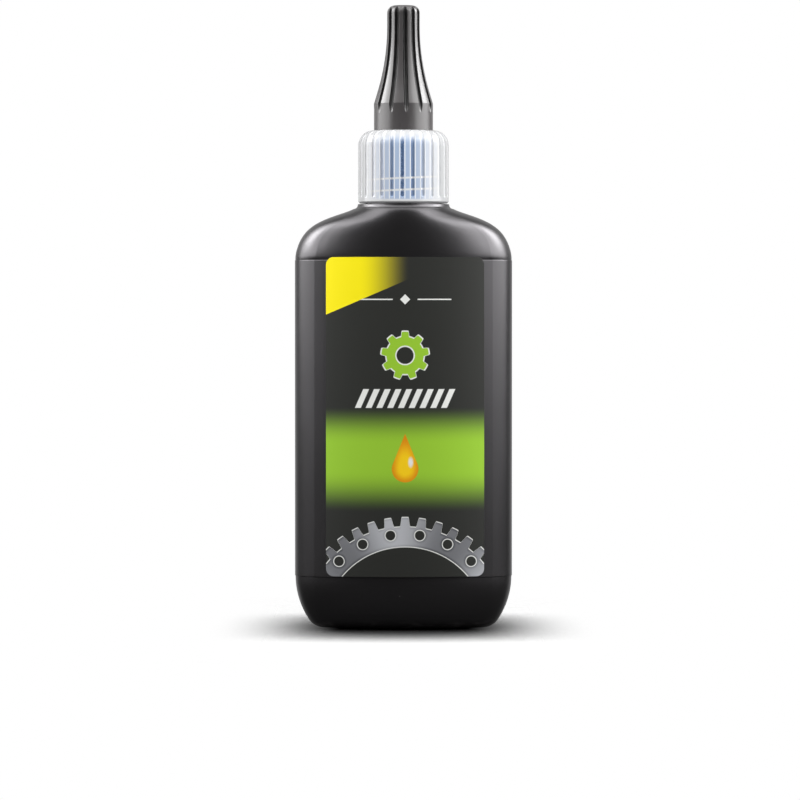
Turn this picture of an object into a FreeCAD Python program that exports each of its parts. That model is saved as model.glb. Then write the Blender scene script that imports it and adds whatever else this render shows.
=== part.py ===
import FreeCAD, Part
import math
import os
import re
import Sketcher
from FreeCAD import Placement, Rotation, Vector

# A flat oval squeeze bottle with a ribbed screw closure, a drip spout and a fluted tip cap.
# Millimetres. +Z is up, the origin is on the ground under the middle, the label faces -Y.

# Sizes that can be set one by one, kept in the sheet
SIZES = (
    ("body_width", 56.0, "bottle, widest, along X"),
    ("body_depth", 28.0, "bottle, front to back"),
    ("side_radius", 9.5, "radius of the oval's two narrow sides"),
    ("base_height", 13.4, "height of the curved base"),
    ("base_inset", 5.0, "how far the base curve comes in at the ground, at the sides"),
    ("base_inset_front", 4.0, "how far it comes in at the front and back"),
    ("foot_radius", 4.4, "rounding of the edge at the ground"),
    ("push_up", 1.6, "depth of the recess under the base"),
    ("standing_width", 2.4, "width of the flat ring that the bottle stands on"),
    ("panel_height", 81.2, "straight panel that carries the label"),
    ("panel_step", 0.12, "step of the panel's upper and lower edge"),
    ("shoulder_radius", 11.0, "corner of the shoulder in the front view"),
    ("shoulder_slope", 20.6, "rise of the shoulder towards the neck, degrees"),
    ("bottle_wall", 1.2, "wall of the bottle"),
    ("ring_foot_radius", 12.9, "neck ring where it leaves the shoulder"),
    ("ring_radius", 11.8, "neck ring under the closure"),
    ("ring_height", 1.2, "neck ring above the shoulder"),
    ("neck_radius", 9.1, "neck under its thread"),
    ("neck_bore", 8.0, "inside radius of the neck"),
    ("neck_height", 15.6, "neck above its ring"),
    ("lip_edge", 0.5, "chamfer of the lip"),
    ("thread_pitch", 3.0, "rise of the thread in one turn"),
    ("thread_depth", 1.0, "height of a thread ridge"),
    ("thread_root", 1.7, "width of a thread ridge at its root"),
    ("thread_crest", 0.8, "width of a thread ridge at its crest"),
    ("thread_lead_in", 2.8, "start of the neck thread above the ring"),
    ("neck_turns", 2.0, "turns of the thread on the neck"),
    ("closure_turns", 1.5, "turns of the thread in the closure"),
    ("thread_clearance", 0.25, "radial play between crest and root of the mating threads"),
    ("flank_play", 0.1, "play along the axis on each flank of the thread"),
    ("closure_gap", 0.25, "gap between neck ring and closure"),
    ("closure_wall", 1.3, "wall of the closure's skirt"),
    ("closure_top", 2.2, "thickness of the closure's top"),
    ("closure_round", 3.8, "rounding of the closure's upper edge"),
    ("closure_edge", 0.4, "chamfer of the closure's lower edge"),
    ("closure_corner", 1.2, "chamfer inside the closure under its top"),
    ("closure_phase", 1.8, "turn of the closure about its axis, degrees"),
    ("rib_count", 27.0, "number of grip grooves around the closure"),
    ("rib_groove_radius", 0.5, "radius of a grip groove"),
    ("rib_groove_depth", 0.4, "depth of a grip groove"),
    ("plain_band", 2.0, "plain skirt under the grip grooves"),
    ("washer_thickness", 1.2, "sealing washer"),
    ("washer_hole", 4.6, "radius of the washer's hole"),
    ("washer_gap", 0.15, "radial gap around the washer"),
    ("boss_radius", 6.4, "boss that holds the tip cap"),
    ("boss_height", 4.0, "height of the boss"),
    ("boss_edge", 0.5, "chamfer of the boss"),
    ("spout_radius", 5.0, "spout where it leaves the boss"),
    ("spout_tip_radius", 1.6, "spout at its end"),
    ("spout_length", 27.0, "spout above the closure's top"),
    ("spout_wall", 0.8, "wall near the end of the spout"),
    ("channel_radius", 4.2, "oil channel where it enters the closure"),
    ("orifice_radius", 0.6, "hole at the end of the spout"),
    ("orifice_length", 1.5, "length of that hole"),
    ("tip_collar_radius", 7.6, "collar of the tip cap"),
    ("tip_collar_height", 6.9, "height of that collar"),
    ("tip_cone_height", 3.0, "straight cone above the collar"),
    ("tip_cone_slope", 16.8, "slope of that cone from the axis, degrees"),
    ("tip_flare_height", 17.0, "curved flare between cone and stem"),
    ("tip_height", 32.2, "tip cap, whole height"),
    ("tip_round", 1.9, "rounding of the tip cap's top"),
    ("tip_clearance", 0.06, "radial play between boss and collar"),
    ("tip_gap", 0.45, "gap between spout and tip cap"),
    ("tip_phase", 5.5, "turn of the tip cap about its axis, degrees"),
    ("pin_radius", 0.45, "sealing pin in the tip cap"),
    ("pin_length", 1.2, "how far the pin enters the spout"),
    ("flute_count", 12.0, "number of flutes around the tip cap"),
    ("flute_radius", 0.62, "radius of a flute"),
    ("flute_depth", 0.7, "depth of a flute"),
    ("label_margin", 7.75, "panel left free at each side of the label, straight across"),
    ("label_lift", 0.25, "panel left free below the label"),
    ("label_lap", 0.75, "how far the label reaches past the panel's upper edge"),
    ("label_shift", 0.4, "label off the middle, towards +X"),
    ("label_gap", 0.04, "film of glue under the label"),
    ("label_thickness", 0.12, "label"),
    ("label_corner", 2.0, "corners of the label"),
)

# Sizes that follow from those
RELATIONS = {
    "half_width": "body_width / 2",
    "half_depth": "body_depth / 2",
    "panel_front_radius": "((half_width - side_radius)^2 + half_depth^2 - side_radius^2)"
                          " / (2 * (half_depth - side_radius))",
    "base_radius": "(base_height^2 + base_inset^2) / (2 * base_inset)",
    "panel_top": "base_height + panel_height",
    "slope_start_x": "half_width - panel_step - shoulder_radius + shoulder_radius * sin(shoulder_slope)",
    "slope_start_z": "panel_top + shoulder_radius * cos(shoulder_slope)",
    "shoulder_top": "slope_start_z + (slope_start_x - ring_foot_radius) * tan(shoulder_slope)",
    "ring_top": "shoulder_top + ring_height",
    "lip": "ring_top + neck_height",
    "cavity_floor": "push_up + bottle_wall",
    "thread_sink": "thread_depth / 5",
    "throat_radius": "neck_bore + bottle_wall",
    "throat_x": "slope_start_x - bottle_wall * sin(shoulder_slope)",
    "throat_z": "slope_start_z - bottle_wall * cos(shoulder_slope)",
    "throat": "throat_z + (throat_x - throat_radius) * tan(shoulder_slope)",
    "thread_start": "ring_top + thread_lead_in",
    "closure_bore": "neck_radius + thread_depth + thread_clearance",
    "closure_radius": "closure_bore + closure_wall",
    "closure_foot": "ring_top + closure_gap",
    "underside": "lip + washer_thickness",
    "closure_head": "underside + closure_top",
    "boss_top": "closure_head + boss_height",
    "spout_end": "closure_head + spout_length",
    "orifice_foot": "spout_end - orifice_length",
    "rib_path_radius": "closure_radius + rib_groove_radius - rib_groove_depth",
    "rib_path_round": "closure_round + rib_groove_radius - rib_groove_depth",
    "crease": "closure_head + tip_collar_height",
    "cone_top": "crease + tip_cone_height",
    "cone_top_radius": "tip_collar_radius - tip_cone_height * tan(tip_cone_slope)",
    "flare_top": "cone_top + tip_flare_height",
    "flare_curve": "tip_flare_height / sin(tip_cone_slope)",
    "stem_radius": "cone_top_radius - flare_curve * (1 - cos(tip_cone_slope))",
    "tip_top": "closure_head + tip_height",
    "flute_path_radius": "stem_radius + flute_radius - flute_depth",
    "flute_path_curve": "flare_curve - flute_radius + flute_depth",
}
NAMES = {row[0] for row in SIZES}

doc = FreeCAD.newDocument("squeeze_bottle")
sheet = doc.addObject("Spreadsheet::Sheet", "Sizes")
for row, (alias, size, note) in enumerate(SIZES, 1):
    sheet.set(f"A{row}", note)
    sheet.set(f"B{row}", str(size))
    sheet.setAlias(f"B{row}", alias)
doc.recompute()


def expand(text):
    """Turn names of sizes and relations into an expression on the sheet's cells."""
    def swap(match):
        word = match.group(0)
        if word in RELATIONS:
            return "(" + expand(RELATIONS[word]) + ")"
        if word in NAMES:
            return "Sizes." + word
        return word
    return re.sub(r"[a-z_][a-z0-9_]*", swap, text)


def number(text):
    """The present value of an expression in names of sizes and relations."""
    return float(sheet.evalExpression(expand(text)))


def new_body(label):
    body = doc.addObject("PartDesign::Body", label)
    body.Label = label
    return body


def origin_part(body, role):
    for part in body.Origin.OriginFeatures:
        if part.Role == role:
            return part


def new_sketch(body, name, plane, height="0"):
    """An empty sketch on one of the body's own planes, lifted along that plane's normal."""
    sketch = body.newObject("Sketcher::SketchObject", name)
    sketch.AttachmentSupport = [(origin_part(body, plane), "")]
    sketch.MapMode = "FlatFace"
    sketch.setExpression("AttachmentOffset.Base.z", expand(height))
    return sketch


def bind(sketch, kind, where, name, text):
    """A named dimension that follows an expression."""
    index = sketch.addConstraint(Sketcher.Constraint(kind, *where, number(text)))
    sketch.renameConstraint(index, name)
    sketch.setExpression("Constraints." + name, expand(text))


def arc_through(start, end, radius, bulge):
    """Arc of a circle between two points; bulge +1 turns left on its way, -1 turns right."""
    chord = end - start
    across = Vector(-chord.y, chord.x, 0).normalize()
    reach = math.sqrt(max(radius * radius - chord.Length ** 2 / 4, 0))
    middle = (start + end) / 2 + across * (bulge * reach)
    first, last = (start, end) if bulge > 0 else (end, start)
    angle = [math.atan2(p.y - middle.y, p.x - middle.x) for p in (first, last)]
    return Part.ArcOfCircle(Part.Circle(middle, Vector(0, 0, 1), radius), *angle)


def outline(sketch, points, closed=True):
    """Chain of lines and arcs through dimensioned points.

    Each point is (across, up) or (across, up, radius, bulge); the last two make the piece
    that leaves the point an arc.
    """
    places = [Vector(number(p[0]), number(p[1]), 0) for p in points]
    count = len(points) if closed else len(points) - 1
    first = sketch.GeometryCount
    ends = []
    for i in range(count):
        start, end = places[i], places[(i + 1) % len(points)]
        point = points[i]
        if len(point) == 4:
            sketch.addGeometry(arc_through(start, end, number(point[2]), point[3]), False)
            bind(sketch, "Radius", (first + i,), f"round_{first + i}", point[2])
            ends.append((1, 2) if point[3] > 0 else (2, 1))
        else:
            sketch.addGeometry(Part.LineSegment(start, end), False)
            ends.append((1, 2))
    for i in range(count if closed else count - 1):
        after = (i + 1) % count
        sketch.addConstraint(Sketcher.Constraint("Coincident", first + i, ends[i][1],
                                                 first + after, ends[after][0]))
    for i, point in enumerate(points):
        line, end = (i, ends[i][0]) if i < count else (i - 1, ends[i - 1][1])
        for kind, text, name in (("DistanceX", point[0], "across"), ("DistanceY", point[1], "up")):
            if text == "0":
                axis = -2 if kind == "DistanceX" else -1
                sketch.addConstraint(Sketcher.Constraint("PointOnObject", first + line, end, axis))
            else:
                bind(sketch, kind, (-1, 1, first + line, end), f"{name}_{first + i}", text)
    return sketch


def oval(body, name, height, half_width, half_depth, side):
    """Closed oval of four tangent arcs, two round sides and two flatter faces."""
    sketch = new_sketch(body, name, "XY_Plane", height)
    a, b, r = f"({half_width})", f"({half_depth})", f"({side})"
    face = f"((({a} - {r})^2 + {b}^2 - {r}^2) / (2 * ({b} - {r})))"
    join_x = f"{face} * ({a} - {r}) / ({face} - {r})"
    join_y = f"{b} - {face} + {face} * ({face} - {b}) / ({face} - {r})"
    return four_arcs(sketch, r, face, join_x, join_y)


def ring(body, name, height, radius):
    """Circle in the same four arcs as an oval."""
    sketch = new_sketch(body, name, "XY_Plane", height)
    return four_arcs(sketch, radius, radius, f"({radius}) * sqrt(0.5)", f"({radius}) * sqrt(0.5)")


def four_arcs(sketch, side, face, join_x, join_y):
    x, y = number(join_x), number(join_y)
    corners = [Vector(x, -y, 0), Vector(x, y, 0), Vector(-x, y, 0), Vector(-x, -y, 0)]
    for i, radius in enumerate((side, face, side, face)):
        sketch.addGeometry(arc_through(corners[i], corners[(i + 1) % 4], number(radius), 1), False)
    for i in range(4):
        sketch.addConstraint(Sketcher.Constraint("Coincident", i, 2, (i + 1) % 4, 1))
    sketch.addConstraint(Sketcher.Constraint("Symmetric", 1, 1, 1, 2, -2))
    sketch.addConstraint(Sketcher.Constraint("Symmetric", 3, 1, 3, 2, -2))
    sketch.addConstraint(Sketcher.Constraint("Symmetric", 0, 1, 0, 2, -1))
    sketch.addConstraint(Sketcher.Constraint("Equal", 0, 2))
    sketch.addConstraint(Sketcher.Constraint("Equal", 1, 3))
    bind(sketch, "Radius", (0,), "side_arc", side)
    bind(sketch, "Radius", (1,), "face_arc", face)
    bind(sketch, "DistanceX", (-1, 1, 1, 1), "join_across", join_x)
    bind(sketch, "DistanceY", (-1, 1, 1, 1), "join_along", join_y)
    return sketch


def loft(body, name, kind, sections, ruled=False):
    feature = body.newObject(f"PartDesign::{kind}Loft", name)
    feature.Profile = sections[0]
    feature.Sections = sections[1:]
    feature.Ruled = ruled
    doc.recompute()
    return feature


def turned(body, name, points, kind="Revolution"):
    """Solid of revolution about Z from a closed outline of (radius, height)."""
    sketch = outline(new_sketch(body, name + "_outline", "XZ_Plane"), points)
    feature = body.newObject("PartDesign::" + kind, name)
    feature.Profile = sketch
    feature.ReferenceAxis = (sketch, ["V_Axis"])
    feature.Angle = 360
    doc.recompute()
    return feature


def cut_along(body, name, radius, path):
    """Round-bottomed groove: a circle carried along a path in the XZ plane."""
    spine = outline(new_sketch(body, name + "_path", "XZ_Plane"), path, closed=False)
    doc.recompute()
    circle = body.newObject("Sketcher::SketchObject", name + "_section")
    circle.AttachmentSupport = [(spine, "Edge1"), (spine, "Vertex1")]
    circle.MapMode = "NormalToEdge"
    circle.addGeometry(Part.Circle(Vector(0, 0, 0), Vector(0, 0, 1), number(radius)), False)
    bind(circle, "Radius", (0,), "groove", radius)
    circle.addConstraint(Sketcher.Constraint("Coincident", 0, 3, -1, 1))
    doc.recompute()
    feature = body.newObject("PartDesign::SubtractivePipe", name)
    feature.Profile = circle
    feature.Spine = (spine, [f"Edge{i + 1}" for i in range(len(path) - 1)])
    feature.Transition = "Right corner"
    doc.recompute()
    return feature


def around(body, name, originals, count):
    """Repeat features evenly about Z."""
    pattern = body.newObject("PartDesign::PolarPattern", name)
    pattern.Originals = originals
    pattern.Axis = (origin_part(body, "Z_Axis"), [""])
    pattern.Angle = 360
    pattern.setExpression("Occurrences", expand(count))
    body.Tip = pattern
    doc.recompute()
    return pattern


def thread(body, name, points, turns):
    """Ridge wound about Z, right-handed and rising."""
    sketch = outline(new_sketch(body, name + "_section", "XZ_Plane"), points)
    ridge = body.newObject("PartDesign::AdditiveHelix", name)
    ridge.Profile = sketch
    ridge.ReferenceAxis = (sketch, ["V_Axis"])
    ridge.Mode = "pitch-turns-angle"
    ridge.setExpression("Pitch", expand("thread_pitch"))
    ridge.setExpression("Turns", expand(turns))
    ridge.Angle = 0
    ridge.LeftHanded = False
    ridge.Reversed = False
    doc.recompute()
    return ridge


def flat_edges(shape, height):
    """Names of the edges that lie at one height."""
    names = []
    for i, edge in enumerate(shape.Edges, 1):
        box = edge.BoundBox
        if abs(box.ZMin - height) < 1e-4 and abs(box.ZMax - height) < 1e-4:
            names.append(f"Edge{i}")
    return names


# Bottle
bottle = new_body("bottle")


def base_section(name, drop, inward):
    """Oval of the curved base, a given drop below the panel."""
    curve = f"((base_radius - sqrt(base_radius^2 - ({drop})^2)) / base_inset)"
    across = f"(panel_step + base_inset * {curve} + ({inward}))"
    along = f"(panel_step + base_inset_front * {curve} + ({inward}))"
    return oval(bottle, name, f"base_height - ({drop})", f"half_width - {across}",
                f"half_depth - {along}", f"side_radius - {along}")


def shoulder_section(name, part, inward):
    """Oval of the shoulder's corner, a given part of the way round it."""
    angle = f"((90 - shoulder_slope) * {part})"
    rise = f"((shoulder_radius - ({inward})) * sin({angle}))"
    half_width = f"(half_width - panel_step - shoulder_radius + (shoulder_radius - ({inward})) * cos({angle}))"
    return crowned(name, f"(panel_top + {rise})", half_width, inward)


def slope_section(name, part, inward):
    """Oval on the shoulder's slope, a given part of the way to the neck ring."""
    across = f"(slope_start_x + (ring_foot_radius - slope_start_x) * {part})"
    height = f"(slope_start_z + (slope_start_x - {across}) * tan(shoulder_slope))"
    return crowned(name, f"({height} - ({inward}) * cos(shoulder_slope))",
                   f"({across} - ({inward}) * sin(shoulder_slope))", inward)


def crowned(name, height, half_width, inward):
    part = f"(({height} - panel_top) / (shoulder_top - panel_top))"
    fall = f"sqrt(1 - {part}^2)"
    half_depth = f"(ring_foot_radius + (half_depth - panel_step - ring_foot_radius) * {fall} - ({inward}))"
    side = f"(side_radius - panel_step + (0.9 * ring_foot_radius - side_radius) * {part}^2 - ({inward}))"
    return oval(bottle, name, height, half_width, half_depth, side)


base = loft(bottle, "base", "Additive", [
    base_section("base_1", "base_height", "0"),
    base_section("base_2", "base_height * 2 / 3", "0"),
    base_section("base_3", "base_height / 3", "0"),
    base_section("base_4", "0", "0"),
])
panel = bottle.newObject("PartDesign::Pad", "panel")
panel.Profile = oval(bottle, "panel_oval", "base_height", "half_width", "half_depth", "side_radius")
panel.setExpression("Length", expand("panel_height"))
doc.recompute()
shoulder = loft(bottle, "shoulder", "Additive", [
    shoulder_section("shoulder_1", "0", "0"),
    shoulder_section("shoulder_2", "1 / 3", "0"),
    shoulder_section("shoulder_3", "2 / 3", "0"),
    shoulder_section("shoulder_4", "1", "0"),
    slope_section("shoulder_5", "0.5", "0"),
    ring(bottle, "shoulder_6", "shoulder_top", "ring_foot_radius"),
])
neck = turned(bottle, "neck", [
    ("0", "shoulder_top"),
    ("ring_foot_radius", "shoulder_top", "ring_foot_radius - ring_radius", -1),
    ("ring_radius", "shoulder_top + ring_foot_radius - ring_radius"),
    ("ring_radius", "ring_top"),
    ("neck_radius", "ring_top"),
    ("neck_radius", "lip - lip_edge"),
    ("neck_radius - lip_edge", "lip"),
    ("0", "lip"),
])
foot = bottle.newObject("PartDesign::Fillet", "foot")
foot.Base = (neck, flat_edges(neck.Shape, 0))
foot.setExpression("Radius", expand("foot_radius"))
doc.recompute()
foot_inset = "(panel_step + 0.46 * foot_radius + standing_width)"
recess_depth = f"(half_depth - base_inset_front - {foot_inset})"
recess = bottle.newObject("PartDesign::Pocket", "push_up_recess")
recess.Profile = oval(bottle, "recess_oval", "0", f"half_width - base_inset - {foot_inset}",
                      recess_depth, f"0.75 * {recess_depth}")
recess.setExpression("Length", expand("push_up"))
recess.Reversed = True
doc.recompute()
recess_edge = bottle.newObject("PartDesign::Fillet", "recess_edge")
recess_edge.Base = (recess, flat_edges(recess.Shape, number("push_up")))
recess_edge.setExpression("Radius", expand("0.8 * push_up"))
doc.recompute()
hollow_base = loft(bottle, "hollow_base", "Subtractive", [
    base_section("hollow_1", "base_height - cavity_floor", "bottle_wall"),
    base_section("hollow_2", "(base_height - cavity_floor) / 2", "bottle_wall"),
    base_section("hollow_3", "0", "bottle_wall"),
], ruled=True)
hollow_panel = bottle.newObject("PartDesign::Pocket", "hollow_panel")
hollow_panel.Profile = oval(bottle, "hollow_oval", "base_height", "half_width - panel_step - bottle_wall",
                            "half_depth - panel_step - bottle_wall", "side_radius - panel_step - bottle_wall")
hollow_panel.setExpression("Length", expand("panel_height"))
hollow_panel.Reversed = True
doc.recompute()
hollow_shoulder = loft(bottle, "hollow_shoulder", "Subtractive", [
    shoulder_section("hollow_4", "0", "bottle_wall"),
    shoulder_section("hollow_5", "1 / 3", "bottle_wall"),
    shoulder_section("hollow_6", "2 / 3", "bottle_wall"),
    shoulder_section("hollow_7", "1", "bottle_wall"),
    slope_section("hollow_8", "0.5", "bottle_wall"),
    ring(bottle, "hollow_9", "throat", "throat_radius"),
], ruled=True)
throat = turned(bottle, "throat", [
    ("0", "throat"),
    ("throat_radius", "throat"),
    ("neck_bore", "throat + bottle_wall"),
    ("neck_bore", "lip"),
    ("0", "lip"),
], kind="Groove")
neck_thread = thread(bottle, "neck_thread", [
    ("neck_radius - thread_sink", "thread_start - thread_root / 2"),
    ("neck_radius", "thread_start - thread_root / 2"),
    ("neck_radius + thread_depth", "thread_start - thread_crest / 2"),
    ("neck_radius + thread_depth", "thread_start + thread_crest / 2"),
    ("neck_radius", "thread_start + thread_root / 2"),
    ("neck_radius - thread_sink", "thread_start + thread_root / 2"),
], "neck_turns")

# Label on the front panel
front_label = new_body("front_label")
label_back = "(panel_front_radius + label_gap)"
label_front = "(panel_front_radius + label_gap + label_thickness)"
label_left = "(label_shift + label_margin - half_width)"
label_right = "(label_shift - label_margin + half_width)"
label_foot = "(base_height + label_lift)"
label_head = "(panel_top + label_lap)"
face_middle = "(panel_front_radius - half_depth)"


def on_face(radius, across):
    """Depth of a point on the front panel's curve, or on one parallel to it."""
    return f"{face_middle} - sqrt(({radius})^2 - ({across})^2)"


strip = outline(new_sketch(front_label, "label_strip", "XY_Plane", label_foot), [
    (label_left, on_face(label_front, label_left), label_front, 1),
    (label_right, on_face(label_front, label_right)),
    (label_right, on_face(label_back, label_right), label_back, -1),
    (label_left, on_face(label_back, label_left)),
])
label_film = front_label.newObject("PartDesign::Pad", "label_film")
label_film.Profile = strip
label_film.setExpression("Length", expand(f"{label_head} - {label_foot}"))
doc.recompute()
trim = new_sketch(front_label, "label_trim", "XZ_Plane")
outline(trim, [
    (f"{label_left} - 1", f"{label_foot} - 1"),
    (f"{label_right} + 1", f"{label_foot} - 1"),
    (f"{label_right} + 1", f"{label_head} + 1"),
    (f"{label_left} - 1", f"{label_head} + 1"),
])
outline(trim, [
    (f"{label_left} + label_corner", label_foot),
    (f"{label_right} - label_corner", label_foot, "label_corner", 1),
    (label_right, f"{label_foot} + label_corner"),
    (label_right, f"{label_head} - label_corner", "label_corner", 1),
    (f"{label_right} - label_corner", label_head),
    (f"{label_left} + label_corner", label_head, "label_corner", 1),
    (label_left, f"{label_head} - label_corner"),
    (label_left, f"{label_foot} + label_corner", "label_corner", 1),
])
label_corners = front_label.newObject("PartDesign::Pocket", "label_corners")
label_corners.Profile = trim
label_corners.Midplane = True
label_corners.setExpression("Length", expand("2 * body_depth"))
doc.recompute()

# Sealing washer on the lip
seal_washer = new_body("seal_washer")
washer_radius = "closure_bore - closure_corner - washer_gap"
turned(seal_washer, "washer", [
    ("washer_hole", "lip"),
    (washer_radius, "lip"),
    (washer_radius, "underside"),
    ("washer_hole", "underside"),
])

# Screw closure with its spout
closure = new_body("closure")
turned(closure, "closure_shell", [
    ("closure_bore", "closure_foot"),
    ("closure_radius - closure_edge", "closure_foot"),
    ("closure_radius", "closure_foot + closure_edge"),
    ("closure_radius", "closure_head - closure_round", "closure_round", 1),
    ("closure_radius - closure_round", "closure_head"),
    ("boss_radius", "closure_head"),
    ("boss_radius", "boss_top - boss_edge"),
    ("boss_radius - boss_edge", "boss_top"),
    ("spout_radius", "boss_top"),
    ("spout_tip_radius", "spout_end"),
    ("orifice_radius", "spout_end"),
    ("orifice_radius", "orifice_foot"),
    ("spout_tip_radius - spout_wall / 2", "orifice_foot - spout_wall"),
    ("channel_radius", "underside"),
    ("closure_bore - closure_corner", "underside"),
    ("closure_bore", "underside - closure_corner"),
])
groove_start = "(closure_foot + plain_band)"
run_out = "(2 * rib_groove_depth)"
groove = cut_along(closure, "grip_groove", "rib_groove_radius", [
    (f"rib_path_radius + {run_out}", f"{groove_start} - {run_out}"),
    ("rib_path_radius", groove_start),
] + [
    (f"closure_radius - closure_round + rib_path_round * cos({angle})",
     f"closure_head - closure_round + rib_path_round * sin({angle})") for angle in (0, 22.5, 45, 67.5, 90)
])
around(closure, "grip_grooves", [groove], "rib_count")
female_start = "(thread_start + thread_pitch * (neck_turns - closure_turns - 0.5))"
female_crest = "-(neck_radius + thread_clearance)"
female_root = "-closure_bore"
thread(closure, "closure_thread", [
    (female_crest, f"{female_start} - thread_crest / 2 + flank_play"),
    (female_crest, f"{female_start} + thread_crest / 2 - flank_play"),
    (female_root, f"{female_start} + thread_root / 2 - flank_play"),
    ("-closure_bore - thread_sink", f"{female_start} + thread_root / 2 - flank_play"),
    ("-closure_bore - thread_sink", f"{female_start} - thread_root / 2 + flank_play"),
    (female_root, f"{female_start} - thread_root / 2 + flank_play"),
], "closure_turns")
closure.Placement = Placement(Vector(0, 0, 0), Rotation(Vector(0, 0, 1), number("closure_phase")))

# Fluted tip cap over the spout
tip_cap = new_body("tip_cap")
collar_bore = "boss_radius + tip_clearance"
inside_foot = "boss_top + tip_gap"
inside_head = "spout_end + tip_gap"
turned(tip_cap, "tip_shell", [
    (collar_bore, "closure_head"),
    ("tip_collar_radius", "closure_head"),
    ("tip_collar_radius", "crease"),
    ("cone_top_radius", "cone_top", "flare_curve", -1),
    ("stem_radius", "flare_top"),
    ("stem_radius", "tip_top - tip_round", "tip_round", 1),
    ("stem_radius - tip_round", "tip_top"),
    ("0", "tip_top"),
    ("0", "spout_end - pin_length"),
    ("pin_radius", "spout_end - pin_length"),
    ("pin_radius", inside_head),
    ("spout_tip_radius + tip_gap", inside_head),
    ("spout_radius + tip_gap", inside_foot),
    (collar_bore, inside_foot),
])
flare_steps = [f"(tip_cone_slope * {part})" for part in ("0", "0.25", "0.5", "0.75", "1")]
flute_foot_radius = "(stem_radius + flare_curve - flute_path_curve * cos(tip_cone_slope))"
flute_foot = "(flare_top - flute_path_curve * sin(tip_cone_slope))"
run_out = "(tip_cone_height + 1.6 * flute_radius / tan(tip_cone_slope))"
flute = cut_along(tip_cap, "flute", "flute_radius", [
    ("flute_path_radius", "tip_top + flute_radius"),
] + [
    (f"stem_radius + flare_curve - flute_path_curve * cos({angle})",
     f"flare_top - flute_path_curve * sin({angle})") for angle in flare_steps
] + [
    (f"{flute_foot_radius} + {run_out} * tan(tip_cone_slope)", f"{flute_foot} - {run_out}"),
])
around(tip_cap, "flutes", [flute], "flute_count")
tip_cap.Placement = Placement(Vector(0, 0, 0), Rotation(Vector(0, 0, 1), number("tip_phase")))
doc.recompute()

# Check and write every piece
pieces = (bottle, front_label, seal_washer, closure, tip_cap)
for thing in doc.Objects:
    if "Invalid" in thing.State or "Error" in thing.State:
        raise RuntimeError(f"{thing.Label} did not build: {thing.State}")
    if thing.isDerivedFrom("PartDesign::Feature") and not thing.Shape.isValid():
        raise RuntimeError(f"{thing.Label} is not a valid shape")
os.makedirs("parts", exist_ok=True)
for piece in pieces:
    shape = piece.Shape
    if shape.isNull() or not shape.isValid() or len(shape.Solids) != 1:
        raise RuntimeError(f"{piece.Label} is not one valid solid")
    print(f"{piece.Label}: {shape.Volume:.1f} cubic millimetres, top at {shape.BoundBox.ZMax:.2f}")
    shape.exportStep(f"parts/{piece.Label}.step")
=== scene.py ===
"""Looks of the chain lube bottle: finishes, a printed label and a plain studio."""

import math

import bpy
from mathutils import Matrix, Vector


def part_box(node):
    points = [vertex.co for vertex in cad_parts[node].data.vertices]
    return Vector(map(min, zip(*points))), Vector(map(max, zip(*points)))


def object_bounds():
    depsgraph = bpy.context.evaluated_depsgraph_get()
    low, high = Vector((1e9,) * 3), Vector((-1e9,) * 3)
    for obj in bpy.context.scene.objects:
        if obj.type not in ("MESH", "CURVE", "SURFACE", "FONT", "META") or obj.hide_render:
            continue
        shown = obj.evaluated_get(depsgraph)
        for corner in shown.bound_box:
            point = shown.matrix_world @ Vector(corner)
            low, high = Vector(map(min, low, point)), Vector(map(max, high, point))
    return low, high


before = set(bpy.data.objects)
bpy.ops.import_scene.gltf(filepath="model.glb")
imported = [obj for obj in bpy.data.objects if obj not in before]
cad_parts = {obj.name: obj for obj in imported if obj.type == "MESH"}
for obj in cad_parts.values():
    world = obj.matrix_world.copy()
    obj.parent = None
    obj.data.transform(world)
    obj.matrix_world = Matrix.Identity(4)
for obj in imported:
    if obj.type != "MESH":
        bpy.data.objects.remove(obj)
cad_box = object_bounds()

bl_info = {
    "name": "Chain lube bottle",
    "version": (1, 0, 0),
    "blender": (4, 5, 0),
    "location": "View3D > Sidebar > Bottle",
    "description": "Finishes, label print and studio for a drip-spout squeeze bottle",
    "category": "Material",
}

MM = 0.001
SENSOR_WIDTH = 36.0
FULL_TURN = 2 * math.pi
WHITE = (1.0, 1.0, 1.0)
BLACK = (0.0, 0.0, 0.0)
FLOOR_SIDES = 96

# Rays for a shaded corner and for a rounded edge
SHADE_SAMPLES = 12
EDGE_SAMPLES = 6

# Cosine where the flank of a printed tooth ends
TOOTH_FLANK = 0.45

# Blend where the facing share falls with the cosine
EVEN_BLEND = 0.5


# Properties

def length(name, description, default):
    """A length in metres."""
    return bpy.props.FloatProperty(name=name, description=description, default=default,
                                   unit="LENGTH", subtype="DISTANCE", precision=5)


def share(name, description, default):
    """A share from nothing to all."""
    return bpy.props.FloatProperty(name=name, description=description, default=default,
                                   subtype="FACTOR", min=0.0, max=1.0)


def ratio(name, description, default):
    """A plain number above nothing."""
    return bpy.props.FloatProperty(name=name, description=description, default=default, min=0.0)


def span(name, description, default):
    """Where something starts and where it is full."""
    return bpy.props.FloatVectorProperty(name=name, description=description, default=default, size=2)


def colour(name, description, default):
    """A linear colour."""
    return bpy.props.FloatVectorProperty(name=name, description=description, default=default,
                                         subtype="COLOR", size=3, min=0.0, max=1.0)


def power(name, description, default):
    """The power of a lamp in watts."""
    return bpy.props.FloatProperty(name=name, description=description, default=default,
                                   unit="POWER", min=0.0)


def count(name, description, default):
    """A whole number of like things."""
    return bpy.props.IntProperty(name=name, description=description, default=default, min=1)


def angle(name, description, default):
    """An angle, given in degrees and kept in radians."""
    return bpy.props.FloatProperty(name=name, description=description,
                                   default=math.radians(default), unit="ROTATION", subtype="ANGLE")


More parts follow.
